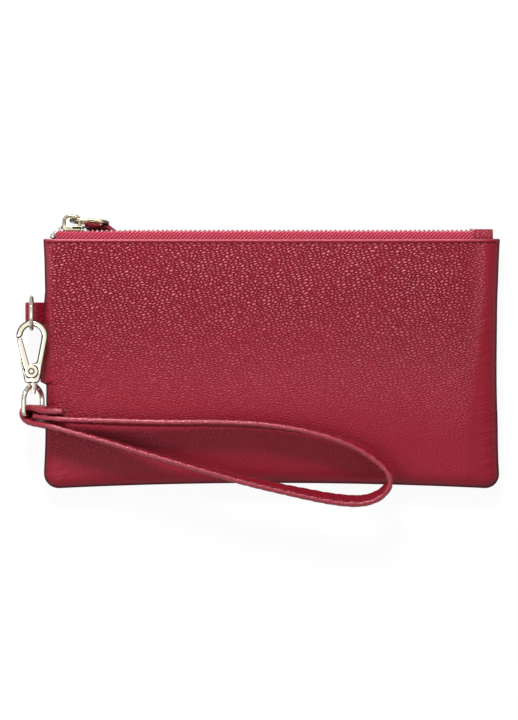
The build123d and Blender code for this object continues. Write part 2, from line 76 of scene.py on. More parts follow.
def camera_above(middle, distance, height_seen):
    """A camera straight above a point, that sees this height at that distance."""
    data = bpy.data.cameras.new("camera")
    data.lens = data.sensor_width * distance / height_seen
    camera = placed("camera", data)
    camera.location = Vector(middle) + Vector((0, 0, distance))
    return camera


scene.camera = camera_above((-5.82 * MM, 1.32 * MM, 9 * MM), 4.0, 316.1 * MM)
scene.view_settings.view_transform = "Standard"
print("camera lens", round(scene.camera.data.lens, 1), "mm")


# %% Lamps
def lamp(name, place, size, power):
    """A square soft lamp at place, aimed at the middle of the pouch."""
    data = bpy.data.lights.new(name, "AREA")
    data.shape = "SQUARE"
    data.size = size
    data.energy = power
    turn = (-Vector(place)).to_track_quat("-Z", "Y")
    placed(name, data).matrix_world = Matrix.Translation(place) @ turn.to_matrix().to_4x4()


lamp("key", (-0.14, 0.82, 0.84), 0.33, 15.8)
lamp("fill", (-0.45, -0.25, 1.0), 0.5, 3.6)


# %% [markdown]
# ## Writing materials as sums
# A node material is easier to read as arithmetic. One small class wraps a node's output, so that
# an expression such as 1 - mask adds the Math nodes for us, and one function adds any other node.

# %% A node with its settings and inputs
def add_node(tree, kind, settings=None, inputs=None):
    """Adds a node with its settings and a value or a link for each input; gives its outputs."""
    node = tree.nodes.new(kind)
    for name, value in (settings or {}).items():
        setattr(node, name, value)
    for name, value in (inputs or {}).items():
        if isinstance(value, bpy.types.NodeSocket):
            tree.links.new(value, node.inputs[name])
        else:
            node.inputs[name].default_value = value
    return node.outputs


# %% A socket that can be added and multiplied
class Signal:
    """A node's output. Arithmetic on it adds Math nodes to the same material."""

    def __init__(self, finish, socket):
        self.finish, self.socket = finish, socket

    def math(self, operation, *values):
        return self.finish.add("ShaderNodeMath", {"operation": operation}, dict(enumerate(values)))

    def __add__(self, other):
        return self.math("ADD", self, other)

    def __mul__(self, other):
        return self.math("MULTIPLY", self, other)

    def __sub__(self, other):
        return self.math("SUBTRACT", self, other)

    def __rsub__(self, other):
        return self.math("SUBTRACT", other, self)

    def __pow__(self, other):
        return self.math("POWER", self, other)

    __radd__, __rmul__ = __add__, __mul__

    def step(self, start, end, low=0.0, high=1.0):
        """A smooth step from low to high while this value goes from start to end."""
        settings = {"interpolation_type": "SMOOTHSTEP"}
        return self.finish.add("ShaderNodeMapRange", settings, {
            "Value": self, "From Min": start, "From Max": end, "To Min": low, "To Max": high})


# %% A material that is built up node by node
class Finish:
    """A material on the Principled shader, with helpers for the nodes that feed it."""

    def __init__(self, name, **constants):
        self.material = bpy.data.materials.new(name)
        self.material.use_nodes = True
        self.tree = self.material.node_tree
        self.shader = self.tree.nodes["Principled BSDF"]
        for socket, value in constants.items():
            self.shader.inputs[socket.replace("_", " ")].default_value = value

    def add(self, kind, settings=None, inputs=None, output=0):
        """Adds a node, whose inputs may be signals, and gives one of its outputs as a signal."""
        inputs = {name: getattr(value, "socket", value) for name, value in (inputs or {}).items()}
        return Signal(self, add_node(self.tree, kind, settings, inputs)[output])

    def place(self):
        """Where a point is on the object, in metres."""
        return self.add("ShaderNodeTexCoord", output="Object")

    def axes(self, vector):
        """The three numbers of a vector."""
        first = self.add("ShaderNodeSeparateXYZ", inputs={0: vector})
        return [Signal(self, output) for output in first.socket.node.outputs]

    def upright(self):
        """1 on faces that look straight up or down on the object, and 0 on its sides."""
        normal_z = self.axes(self.add("ShaderNodeTexCoord", output="Normal"))[2]
        return normal_z.math("ABSOLUTE", normal_z)

    def turned(self, vector, degrees, cell):
        """The same place turned about Z, then counted in cells of these sizes in millimetres."""
        turn = {"Rotation": (0, 0, math.radians(-degrees))}
        vector = self.add("ShaderNodeMapping", inputs={"Vector": vector, **turn})
        scale = tuple(1 / (size * MM) for size in cell)
        return self.add("ShaderNodeMapping", inputs={"Vector": vector, "Scale": scale})

    def noise(self, vector, scale, detail, output="Fac"):
        """Cloudy values between 0 and 1."""
        inputs = {"Vector": vector, "Scale": scale, "Detail": detail}
        return self.add("ShaderNodeTexNoise", inputs=inputs, output=output)

    def mix(self, factor, first, second):
        """A colour between two colours."""
        return self.add("ShaderNodeMix", {"data_type": "RGBA"}, {0: factor, 6: first, 7: second}, output=2)

    def bump(self, height, depth, normal=None):
        """A normal from a height between 0 and 1, that deep in millimetres."""
        inputs = {"Height": height, "Distance": depth * MM}
        if normal:
            inputs["Normal"] = normal
        return self.add("ShaderNodeBump", inputs=inputs)

    def feed(self, **signals):
        """Plugs values into the shader, and gives the finished material."""
        for socket, signal in signals.items():
            self.tree.links.new(signal.socket, self.shader.inputs[socket.replace("_", " ")])
        return self.material


# %% [markdown]
# ## Floor and world
# The floor is one big white sheet. Most of its white is only there to be seen, so it throws no more
# light on the pouch, whose soft shadow still shows. The world is white where it is seen or
# mirrored too; the light that it gives comes from bands of sky, brighter overhead.

# %% Floor
def seen_rays(tree):
    """1 for what is seen straight, in reflections or through glass, and 0 for light."""
    rays = add_node(tree, "ShaderNodeLightPath")
    seen = rays["Is Camera Ray"]
    for name in ("Is Glossy Ray", "Is Transmission Ray"):
        seen = add_node(tree, "ShaderNodeMath", {"operation": "MAXIMUM"}, {0: seen, 1: rays[name]})[0]
    return seen


def white_floor(size, share):
    """A big plain floor; a share of its white is only there to be seen, and gives no light."""
    finish = Finish("floor_white", Base_Color=(0.95, 0.95, 0.95, 1), Roughness=0.9)
    seen = Signal(finish, seen_rays(finish.tree))
    white = finish.add("ShaderNodeEmission", inputs={"Strength": 1.0})
    both = finish.add("ShaderNodeMixShader",
                      inputs={0: seen * share, 1: finish.shader.outputs[0], 2: white})
    finish.tree.links.new(both.socket, finish.tree.nodes["Material Output"].inputs["Surface"])
    half = size / 2
    corners = [(x * half, y * half, -0.2 * MM) for x, y in ((-1, -1), (1, -1), (1, 1), (-1, 1))]
    mesh = bpy.data.meshes.new("floor")
    mesh.from_pydata(corners, [], [(0, 1, 2, 3)])
    mesh.materials.append(finish.material)
    return placed("floor", mesh)


white_floor(6.0, 0.93)


# %% World
SKY = ((0.0, 0.03), (0.38, 0.03), (0.54, 0.50), (0.82, 0.50), (0.90, 0.15), (0.984, 0.15), (0.991, 1.0))


def studio_world(level):
    """White where it is seen or mirrored; the bands of SKY, as (height, brightness), give light."""
    world = bpy.data.worlds.new("studio")
    scene.world = world
    world.use_nodes = True
    tree = world.node_tree
    split = add_node(tree, "ShaderNodeSeparateXYZ",
                     inputs={0: add_node(tree, "ShaderNodeTexCoord")["Generated"]})
    ramp = add_node(tree, "ShaderNodeValToRGB", inputs={"Fac": split["Z"]})["Color"]
    stops = ramp.node.color_ramp.elements
    for (height, bright), stop in zip(SKY[:2], stops):
        stop.position, stop.color = height, (bright, bright, bright, 1)
    for height, bright in SKY[2:]:
        stops.new(height).color = (bright, bright, bright, 1)
    sky = tree.nodes["Background"]
    sky.inputs["Strength"].default_value = level
    tree.links.new(ramp, sky.inputs["Color"])
    white = add_node(tree, "ShaderNodeBackground", inputs={"Color": (1, 1, 1, 1)})[0]
    both = add_node(tree, "ShaderNodeMixShader",
                    inputs={0: seen_rays(tree), 1: sky.outputs[0], 2: white})[0]
    tree.links.new(both, tree.nodes["World Output"].inputs["Surface"])


studio_world(0.90)
print("world and floor ready")


# %% [markdown]
# ## Leather
# Pebbled calf leather is dyed through and pressed with a grain of small cushions with fine creases
# between them. Voronoi cells, stretched and turned a little, give cushions of the right size, and
# the creases are painted darker as painted shade. On the panels the grain is strongest near the zip:
# it flattens along the hem and the side seams and fades towards the bottom. The tops of the cushions
# carry a painted highlight that is strongest near the zip, and the hem's rolled top edge a painted
# highlight line. The right margin is darker. The turned edges carry painted shade and are dull.

# %% Grain of small cushions
def cushions(finish, spot, cell, turn, span):
    """How high each point stands on its cushion: 0 in a crease, 1 on top."""
    drift = finish.noise(spot, 150.0, 1.0, "Color")
    shift = finish.add("ShaderNodeVectorMath", {"operation": "SCALE"}, {0: drift, "Scale": 1.6 * MM})
    moved = finish.add("ShaderNodeVectorMath", {"operation": "ADD"}, {0: spot, 1: shift})
    edge = finish.add("ShaderNodeTexVoronoi",
                      {"feature": "DISTANCE_TO_EDGE", "voronoi_dimensions": span},
                      {"Vector": finish.turned(moved, turn, cell), "Scale": 1.0, "Randomness": 0.85},
                      output="Distance")
    slope = edge.math("MINIMUM", edge * 1.8, 1.0)
    return slope * (1.5 - 0.5 * slope)


def kept_grain(x, y):
    """1 where a panel's grain is whole, less towards its sides, its hem and its bottom."""
    flat = x.step(84 * MM, 97 * MM) * 0.9 + y.step(51.9 * MM, 52.3 * MM)
    flat = flat + x.step(-95.5 * MM, -99 * MM) * 0.7 + y.step(38 * MM, -44 * MM) * 0.84
    return 1 - flat.math("MINIMUM", flat, 1.0)


# %% Painted highlights and shade on a panel, and the puckers by its side seams
# Painted highlight colours for the cushion tops and the hem's fold, and painted shade for the steep edges.
cushion_highlight_red, fold_highlight_red = (0.66, 0.19, 0.24, 1), (0.62, 0.16, 0.21, 1)
steep_edge_shade = (0.03, 0.001, 0.006, 1)


def painted_light_and_puckers(finish, spot, highlight_tops, crease, tint, gloss, normal):
    """A panel's colour, roughness and normal: painted highlights on the cushion tops and the hem's fold, a
    darker right margin, painted shade on the turned edges, and puckers by the side seams.
    """
    x, y, _ = finish.axes(spot)
    # Painted highlight on the tops of the cushions, strongest near the zip.
    tint = finish.mix(highlight_tops * y.step(-26 * MM, 42 * MM, 0.06, 0.90), tint, cushion_highlight_red)
    # Painted highlight line along the hem's rolled top edge.
    tint = finish.mix(y.step(53.75 * MM, 54.05 * MM) * 0.75, tint, fold_highlight_red)
    # Darker towards the right seam.
    tint = finish.mix(x.step(78 * MM, 97 * MM) * 0.8, tint, crease)
    puckers = finish.noise(finish.turned(spot, 14, (9.0, 1.5, 9.0)), 1.0, 2.0)
    at_side = x.math("ABSOLUTE", x).step(84 * MM, 97 * MM) * y.step(42 * MM, 15 * MM)
    normal = finish.bump(puckers.step(0.3, 0.75) * at_side, 0.20, normal)
    # Painted shade on the steep turned edges, which are also made rougher.
    steep = finish.upright().step(0.80, 0.35)
    tint = finish.mix(steep * 0.92, tint, steep_edge_shade)
    return tint, gloss + y.step(45 * MM, -45 * MM) * 0.12 + steep * 0.6, normal


# %% Leather finishes
def leather(name, colour, crease, cell, turn, depth, roughness, shine, panel=False):
    """Grained leather: cells in millimetres, turned in degrees, that deep in millimetres."""
    finish = Finish(name, Specular_IOR_Level=shine, Specular_Tint=(1.0, 0.52, 0.60, 1))
    spot = finish.place()
    dome = cushions(finish, spot, cell, turn, "2D" if panel else "3D")
    pores = finish.noise(spot, 2600.0, 3.0)
    patch = finish.noise(spot, 60.0, 2.0)
    relief = dome * (0.75 + 0.4 * patch)
    if panel:
        x, y, _ = finish.axes(spot)
        keep = kept_grain(x, y)
        relief = relief * keep
        dome = 1 - (1 - dome) * keep
    # The creases are painted darker as painted shade.
    tint = finish.mix(dome.step(0.0, 0.75), crease, colour)
    browner = (colour[0] * 0.75, colour[1], colour[2], 1)
    tint = finish.mix(patch.step(0.4, 0.75, 0.0, 0.14), tint, browner)
    normal = finish.bump(relief, depth)
    normal = finish.bump(pores, depth * 0.08, normal)
    gloss = roughness + 0.22 * (1 - dome)
    if panel:
        # Where the painted highlight goes: the tops of the cushions, in patches, where the grain is kept.
        highlight_tops = dome.step(0.45, 0.95) * patch.step(0.3, 0.6, 0.6, 1.0) * keep * keep
        tint, gloss, normal = painted_light_and_puckers(finish, spot, highlight_tops, crease, tint, gloss, normal)
    return finish.feed(Base_Color=tint, Normal=normal, Roughness=gloss)


panel_leather = leather("leather_pebbled", (0.215, 0.0042, 0.0150, 1), (0.17, 0.002, 0.009, 1),
                        (2.0, 1.08, 1.8), 20, 0.60, 0.34, 0.42, panel=True)
trim_leather = leather("leather_trim", (0.29, 0.010, 0.025, 1), (0.15, 0.003, 0.010, 1),
                       (1.7, 1.2, 1.4), 15, 0.22, 0.34, 0.50)
strap_leather = leather("leather_strap", (0.27, 0.008, 0.022, 1), (0.17, 0.003, 0.010, 1),
                        (1.9, 0.9, 0.9), 0, 0.09, 0.21, 1.0)
print("leathers", panel_leather.name, trim_leather.name, strap_leather.name)


# %% [markdown]
# ## Metal, cloth and thread
# The snap, the rings and the slider are pale gold plate, which is mostly a clean mirror with faint
# polishing marks. Their rounded shoulders carry a painted dark reflection, since a white room has
# nothing dark to mirror there. The slider and the pull also carry painted dark reflections in
# patches, the slider a painted shadow in its tape slot, and the zip's teeth are painted reddish as
# a reflection of the red tape, keeping their own grey at the left end. The zip tape is a tight
# twill with diagonal ribs.

# %% Gold plate and steel
def cut(x, y, z, box):
    """1 inside the painted shadow of a small slot in a casting, given as left, right, low and high in
    millimetres.
    """
    inside = z.step(7 * MM, 7.5 * MM)
    for axis, start, end, soft in ((x, *box[:2], 0.2), (y, *box[2:], 0.15)):
        inside = inside * axis.step((start - soft) * MM, (start + soft) * MM)
        inside = inside * axis.step((end + soft) * MM, (end - soft) * MM)
    return inside


def metal(name, colour, roughness, left_colour=None, shoulder_reflection=0.0, dark_reflection=0.0, slot_shadow=None):
    """Plated metal with painted dark reflections on its shoulders and in patches, a painted shadow in a
    slot, and its own plain colour at the zip's left end.
    """
    finish = Finish(name, Metallic=1.0)
    spot = finish.place()
    smear = finish.noise(spot, 700.0, 3.0)
    tint = finish.mix(smear.step(0.3, 0.8, 0.0, 0.25), colour, tuple(c * 0.86 for c in colour[:3]) + (1,))
    if left_colour:
        tint = finish.mix(finish.axes(spot)[0].step(-69 * MM, -64 * MM), left_colour, tint)
    if shoulder_reflection:
        # Painted dark reflection on the rounded shoulders.
        tint = finish.mix(finish.upright().step(0.985, 0.90) * shoulder_reflection, tint, (0.035, 0.028, 0.018, 1))
    if dark_reflection:
        # Painted dark reflections in patches.
        reflection_patch = finish.noise(spot, 420.0, 1.0).step(0.50, 0.57)
        tint = finish.mix(reflection_patch * dark_reflection, tint, (0.12, 0.095, 0.05, 1))
    # Painted shadow in the slider's tape slot.
    if slot_shadow:
        tint = finish.mix(cut(*finish.axes(spot), slot_shadow), tint, (0.01, 0.008, 0.006, 1))
    normal = finish.bump(finish.noise(spot, 900.0, 1.0), 0.012)
    return finish.feed(Base_Color=tint, Roughness=roughness + 0.10 * smear, Normal=normal)


# Every plate carries a painted dark reflection on its shoulders; the slider and pull also in patches.
gold = metal("gold_plate", (0.93, 0.85, 0.68, 1), 0.08, shoulder_reflection=0.92)
# The slider's tape slot is a painted shadow.
slider_gold = metal("gold_slider", (0.62, 0.53, 0.36, 1), 0.12, shoulder_reflection=0.85, dark_reflection=0.55,
                    slot_shadow=(-87.6, -83.8, 58.9, 59.9))
pull_gold = metal("gold_pull", (0.66, 0.56, 0.38, 1), 0.12, shoulder_reflection=0.85, dark_reflection=0.75)
ring_gold = metal("gold_ring", (0.88, 0.82, 0.70, 1), 0.10, shoulder_reflection=0.55)
# The teeth's reddish colour is a painted reflection of the red tape; at the left end they keep their own
# grey.
tooth_metal_red_reflection = metal("zip_teeth", (0.42, 0.17, 0.17, 1), 0.30, (0.40, 0.38, 0.35, 1))
steel = metal("spring_steel", (0.55, 0.53, 0.50, 1), 0.28)
print("metals", [m.name for m in (gold, slider_gold, pull_gold, ring_gold, tooth_metal_red_reflection, steel)])


# %% Twill tape, lining, board and thread
def cloth(name, colour, dark, cell, turn, depth, roughness=0.75, sheen=0.12):
    """Woven cloth: ribs with a thread's twist, from two wave patterns that follow the piece."""
    finish = Finish(name, Roughness=roughness, Sheen_Weight=sheen, Specular_IOR_Level=0.3)
    spot = finish.place()
    ribs, picks = (finish.add(
        "ShaderNodeTexWave", {"wave_type": "BANDS", "bands_direction": "X"},
        {"Vector": finish.turned(spot, way, cell), "Scale": 0.3142, "Distortion": 0.6, "Detail": 1.0,
         "Detail Scale": 2.0}, output="Fac") for way in (turn, turn + 82))
    weave = ribs * picks * 0.75 + ribs * 0.25
    tint = finish.mix(weave.step(0.05, 0.7), dark, colour)
    return finish.feed(Base_Color=tint, Normal=finish.bump(weave, depth))


tape_cloth = cloth("zip_twill", (0.70, 0.095, 0.155, 1), (0.27, 0.006, 0.022, 1), (1.12, 1.12, 1.12),
                   -50, 0.22)
lining_cloth = cloth("lining_cloth", (0.16, 0.012, 0.02, 1), (0.08, 0.006, 0.01, 1),
                     (0.5, 0.5, 0.5), 45, 0.05)
board_cloth = cloth("interfacing_felt", (0.55, 0.52, 0.46, 1), (0.4, 0.38, 0.34, 1),
                    (0.8, 0.8, 0.8), 10, 0.05, 0.95)
thread = cloth("sewing_thread", (0.055, 0.001, 0.005, 1), (0.02, 0.001, 0.002, 1), (0.3, 0.3, 0.3),
               60, 0.04, 0.8, 0.0)
strap_thread = cloth("strap_thread", (0.10, 0.004, 0.012, 1), (0.12, 0.006, 0.012, 1),
                     (0.3, 0.3, 0.3), 60, 0.04, 0.5, 0.0)
print("cloths", [m.name for m in (tape_cloth, lining_cloth, board_cloth, thread, strap_thread)])


# %% [markdown]
# ## Meshes from grids and rings
# Nearly every soft part here is a grid of points: a panel is two grids with leather between them,
# and a strap, a tape or a loop is a row of closed rings. Two helpers turn them into closed meshes.

# %% Helpers that make closed meshes
def closed_mesh(name, points, faces, material, uv=None):
    """A smooth mesh from points in millimetres, welded, with its faces pointing outwards."""
    mesh = bpy.data.meshes.new(name)
    mesh.from_pydata([tuple(p) for p in np.asarray(points, float) * MM], [], faces)
    if uv is not None:
        layer = mesh.uv_layers.new(name="UVMap")
        for loop in mesh.loops:
            layer.data[loop.index].uv = uv[loop.vertex_index]
    build = bmesh.new()
    build.from_mesh(mesh)
    bmesh.ops.remove_doubles(build, verts=build.verts, dist=0.002 * MM)
    bmesh.ops.recalc_face_normals(build, faces=build.faces)
    for face in build.faces:
        face.smooth = True
    build.to_mesh(mesh)
    build.free()
    mesh.materials.append(material)
    print(name, len(mesh.polygons), "faces")
    return placed(name, mesh)


def grid_shell(name, outer, inner, material):
    """The closed body between two grids of points that share their top row."""
    rows, columns = outer.shape[:2]
    points = np.concatenate([outer.reshape(-1, 3), inner.reshape(-1, 3)])
    number = np.arange(2 * rows * columns).reshape(2, rows, columns)
    faces = []
    for sheet in number:
        quads = np.stack([sheet[:-1, :-1], sheet[:-1, 1:], sheet[1:, 1:], sheet[1:, :-1]], -1)
        faces += quads.reshape(-1, 4).tolist()
    for rim in (number[:, 0, :], number[:, :, 0], number[:, :, -1], number[:, -1, :]):
        faces += np.stack([rim[0, :-1], rim[0, 1:], rim[1, 1:], rim[1, :-1]], -1).tolist()
    return closed_mesh(name, points, faces, material)


def run(line):
    """How far along the line each point is."""
    return np.concatenate([[0], np.cumsum(np.linalg.norm(np.diff(line, axis=0), axis=1))])


def directions(line):
    """The direction of the line at each point."""
    way = np.gradient(line, axis=0)
    return way / np.linalg.norm(way, axis=1, keepdims=True)


def loft(name, rings, material):
    """A closed body through rings of points, each ring closed, with flat ends."""
    rings = np.asarray(rings, float)
    count, around = rings.shape[:2]
    number = np.arange(count * around).reshape(count, around)
    turned = np.roll(number, -1, axis=1)
    quads = np.stack([number[:-1], turned[:-1], turned[1:], number[1:]], -1)
    faces = quads.reshape(-1, 4).tolist() + [number[0].tolist(), number[-1].tolist()]
    uv = [(a * MM, b * MM) for a in run(rings.mean(1)) for b in run(rings[0])]
    return closed_mesh(name, rings.reshape(-1, 3), faces, material, uv)


# %% Helpers for smooth changes and soft waves
def smooth_step(value, start, end):
    """From 0 to 1, smoothly, while value goes from start to end."""
    t = np.clip((np.asarray(value, float) - start) / (end - start), 0, 1)
    return t * t * (3 - 2 * t)


def wander(x, y, size, seed):
    """Smooth noise between -1 and 1 over a plane, with hills of about this size."""
    flat = np.broadcast_arrays(np.asarray(x, float), np.asarray(y, float))
    values = [noise.noise((a / size, b / size, seed)) for a, b in zip(*(f.ravel() for f in flat))]
    return np.array(values).reshape(flat[0].shape)


# %% [markdown]
# ## The pouch's skin
# Each panel is a soft pillow: it rises steeply from the turned seam, swells a little in the middle
# and narrows to the zip. The rear one is flat where it rests. One formula gives that form, and
# noise adds the slight waves that an empty leather pouch always has. The lining, the stiffening
# board and the zip's tape follow the same formula further in, so nothing pokes out.

# %% Sizes of the pouch, from the frame
panel_low, panel_high = (Vector(corner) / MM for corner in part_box("front_panel"))
seam_z = panel_low.z
half_width = panel_high.x
top_y, bottom_y = panel_high.y + 0.5, panel_low.y
crown = panel_high.z - seam_z
SIDE_HOLLOW = 1.4  # how far the middle of the right seam bows inwards
BOTTOM_HOLLOW = 2.6  # how far the middle of the bottom seam bows inwards
CORNER = 7.0  # radius of the two bottom corners
EDGE = 5.4  # how far a panel stands off the seam just inside it
ROLL = 8.0  # how far in from the seam a panel has turned level
CROWN_Y = -5.0  # where the front panel stands highest
CROWN_HALF = 94.6  # half the width over which it swells
SHOULDER_Y, SHOULDER = 40.0, 7.6  # where it starts down to the mouth, and how high it is there
HEEL = 4.8  # how far the rear panel stands off the seam near the mouth
MOUTH = 4.8  # half the thickness of the pouch at its mouth
FLARE = 0.319  # how fast the tapes spread above the mouth
LEATHER = 1.2  # thickness of a panel
STITCH_Y = 52.55  # the stitching along the hem
LOOP_Y = 21.8  # the middle of the side loop
print("seam at", round(seam_z, 2), "crown", round(crown, 2), "half width", round(half_width, 2))


# %% Outline and thickness of one half
left_heights = (-60, -47, -34, -20, -9.6, -8.2, -4, 8, 17, 24, 28.5, 32, 45, 56)
left_widths = (100.3, 100.3, 99.7, 99.3, 99.3, 101.9, 101.9, 101.6, 101.2, 100.6, 100.1, 99.8, 100.1,
               100.6)


def side_line(y, x):
    """Half the pouch's width at y on the side of x, before the rounded bottom corners."""
    middle = (top_y + bottom_y) / 2
    bow = 1 - ((y - middle) / (top_y - middle)) ** 2
    return np.where(x < 0, np.interp(y, left_heights, left_widths), half_width - SIDE_HOLLOW * bow)


def flap(x, y):
    """How much a point lies on the seam's flap beside the snap, left of the panel's own edge."""
    edge = np.interp(y, (-8.5, -1, 9, 18), (-99.0, -98.0, -96.8, -98.8))
    inside = (y > -8.5) & (y < 18)
    low = smooth_step(edge - x, -0.1, 0.7) + 0.22 * np.exp(-((edge - x) / 0.45) ** 2)
    return np.where(inside, low, 0.0)


def pillow(x, y, side):
    """Height of a panel's outside above the seam plane, away from its rounded edges."""
    across = np.clip(1 - (x / CROWN_HALF) ** 2, 0, 1)
    if side > 0:
        low_end = 1 - ((CROWN_Y - y) / 45.3) ** 2
        high_end = 1 - 0.607 * ((y - CROWN_Y) / (SHOULDER_Y - CROWN_Y)) ** 2
        along = EDGE + (crown - EDGE) * np.where(y < CROWN_Y, low_end, high_end)
        along = np.where(y > SHOULDER_Y, SHOULDER - 0.2 * (y - SHOULDER_Y), along)
        base = EDGE - 0.6 * smooth_step(y, 30, 54)
        height = base + (along - base) * across
    else:
        across = np.clip(across * 2.2, 0, 1)
        bulge = EDGE + (seam_z - EDGE) * smooth_step(y, -52, -38)
        heel = HEEL + (bulge - HEEL) * (1 - smooth_step(y, 14, 40))
        height = np.minimum(heel, EDGE + (heel - EDGE) * across)
    return np.where(y > top_y, MOUTH + FLARE * (y - top_y), height)


def skin(side, rows, columns):
    """A grid of points on the outside of one half, with the seam at its first row and its sides."""
    fan = ROLL * (1 - np.cos(np.linspace(0, math.pi / 2, 15)))
    y = np.concatenate([bottom_y + fan, rows])
    inner = np.linspace(0, 1, columns)[1:-1]
    grid = np.zeros((len(y), 2 * len(fan) + len(inner), 3))
    for row, level in enumerate(y):
        lift = level - bottom_y
        waver = 0.16 * noise.noise((level / 17, 3.1, 0))
        cut = CORNER - math.sqrt(max(CORNER ** 2 - (CORNER - lift) ** 2, 0)) if lift < CORNER else 0
        left_edge, right_edge = (float(side_line(level, s)) + waver - cut for s in (-1, 1))
        left, right = -left_edge + fan, right_edge - fan[::-1]
        middle = left[-1] + (right[0] - left[-1]) * inner
        x = np.concatenate([left, middle, right])
        depth = side_line(level, x) - np.abs(x)
        if lift < CORNER:
            round_depth = CORNER - np.hypot(CORNER - depth, CORNER - lift)
            depth = np.where(depth < CORNER, round_depth, lift)
        depth = np.minimum(np.minimum(depth, lift), np.minimum(x + left_edge, right_edge - x))
        round_off = np.sqrt(1 - (1 - np.clip(depth / ROLL, 0, 1)) ** 3)
        height = pillow(x, level, side) * round_off * (1 - 0.34 * flap(x, level))
        up = level + BOTTOM_HOLLOW * (1 - (x / half_width) ** 2) * (top_y - level) / (top_y - bottom_y)
        up = np.where(level > top_y, level, up)
        grid[row] = np.stack([x, up, seam_z + side * height], -1)
    return grid


def normals(grid, side):
    """Outward directions of a grid of points."""
    down, across = np.gradient(grid, axis=0), np.gradient(grid, axis=1)
    normal = np.cross(across, down) * side
    normal /= np.maximum(np.linalg.norm(normal, axis=-1, keepdims=True), 1e-9)
    return normal


# %% Waves and the hem
def ripple(grid, side):
    """Slight waves of the leather, strongest in the middle, and only inwards where it rests."""
    x, y = grid[..., 0], grid[..., 1]
    inside = smooth_step(half_width - np.abs(x), 1, 14) * smooth_step(y - bottom_y, 2, 14)
    inside = inside * (1 - smooth_step(y, 44, 52))
    wave = 0.30 * wander(x, y, 34, 1.7 * side) + 0.10 * wander(x, y, 11, 5.2)
    if side < 0:
        wave = -np.abs(wave) * 0.7 * smooth_step(np.abs(x), 60, 90)
    return wave * inside


def panel(name, side):
    """One leather panel, joined round a rolled top edge, and the line that its hem is sewn along."""
    body = np.concatenate([np.linspace(bottom_y + ROLL + 0.8, -10.4, 38),
                           np.linspace(-10, -7.8, 10), np.linspace(-7, 51.2, 60)])
    hem = np.linspace(51.4, 53.8, 15)
    half = LEATHER / 2
    lip = top_y - half + half * np.sin(np.linspace(0, math.pi / 2, 7))
    grid = skin(side, np.concatenate([body, hem, lip]), 150)
    normal = normals(grid, side)
    y = grid[..., 1]
    round_lip = np.sqrt(np.clip(half ** 2 - (y - lip[0]) ** 2, 0, None))
    sunk = np.where(y > lip[0], half - round_lip, 0)
    reach = smooth_step(half_width - np.abs(grid[..., 0]), 1.0, 2.0)
    groove = 0.34 * np.exp(-((y - STITCH_Y) / 0.36) ** 2) * reach
    band = 0.18 * np.exp(-((y - STITCH_Y - 1.0) / 0.5) ** 2) * reach
    moved = ripple(grid, side) + band - groove
    outer = grid + normal * (moved - sunk)[..., None]
    inner = grid + normal * (moved * 0.5 - LEATHER + sunk)[..., None]
    middle = (outer[-1] + inner[-1]) / 2
    outer[-1], inner[-1] = middle, middle
    if side < 0:
        outer[..., 2] = np.maximum(outer[..., 2], 0.0)
    sewn = np.argmin(np.abs(grid[:, 75, 1] - STITCH_Y))
    seam = (outer + normal * 0.05)[sewn][np.abs(outer[sewn, :, 0]) < half_width - 1.6]
    return grid_shell(name, outer, inner, panel_leather), seam


HALVES = ((1, "front"), (-1, "rear"))
hem_lines = {}
for side, end in HALVES:
    piece, hem_lines[end] = panel(end + "_leather", side)
    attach(piece, "pouch")
    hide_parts(end + "_panel")


# %% Lining and stiffening board
SEAM_ROOM = 0.983  # the layers are this much narrower, so the side seams have room


def layer(name, side, depth, thickness, top, material):
    """A thin layer that follows the panel, this deep below its outside, up to this height."""
    grid = skin(side, np.linspace(bottom_y + ROLL + 0.8, top, 40), 60)
    normal = normals(grid, side)
    outer, inner = grid - normal * depth, grid - normal * (depth + thickness)
    for sheet in (outer, inner):
        sheet[..., 0] *= SEAM_ROOM
    return grid_shell(name, outer, inner, material)


board, lining = (1.45, 0.45, 44.0, board_cloth), (2.05, 0.35, 53.4, lining_cloth)
for name, slot, sizes in (("_board", "interfacing", board), ("_lining_cloth", "lining", lining)):
    for side, end in HALVES:
        piece = layer(end + name, side, *sizes)
        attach(piece, "pouch")
        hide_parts(end + "_" + slot)


# %% [markdown]
# ## Rows made by Geometry Nodes
# Teeth and stitches are one small shape repeated along a path. One node tree does both: it walks
# the path in even steps, turns each copy along it, and ends in real mesh with its material. Its
# inputs are the step and the three sizes of a copy, so each row only sets numbers.

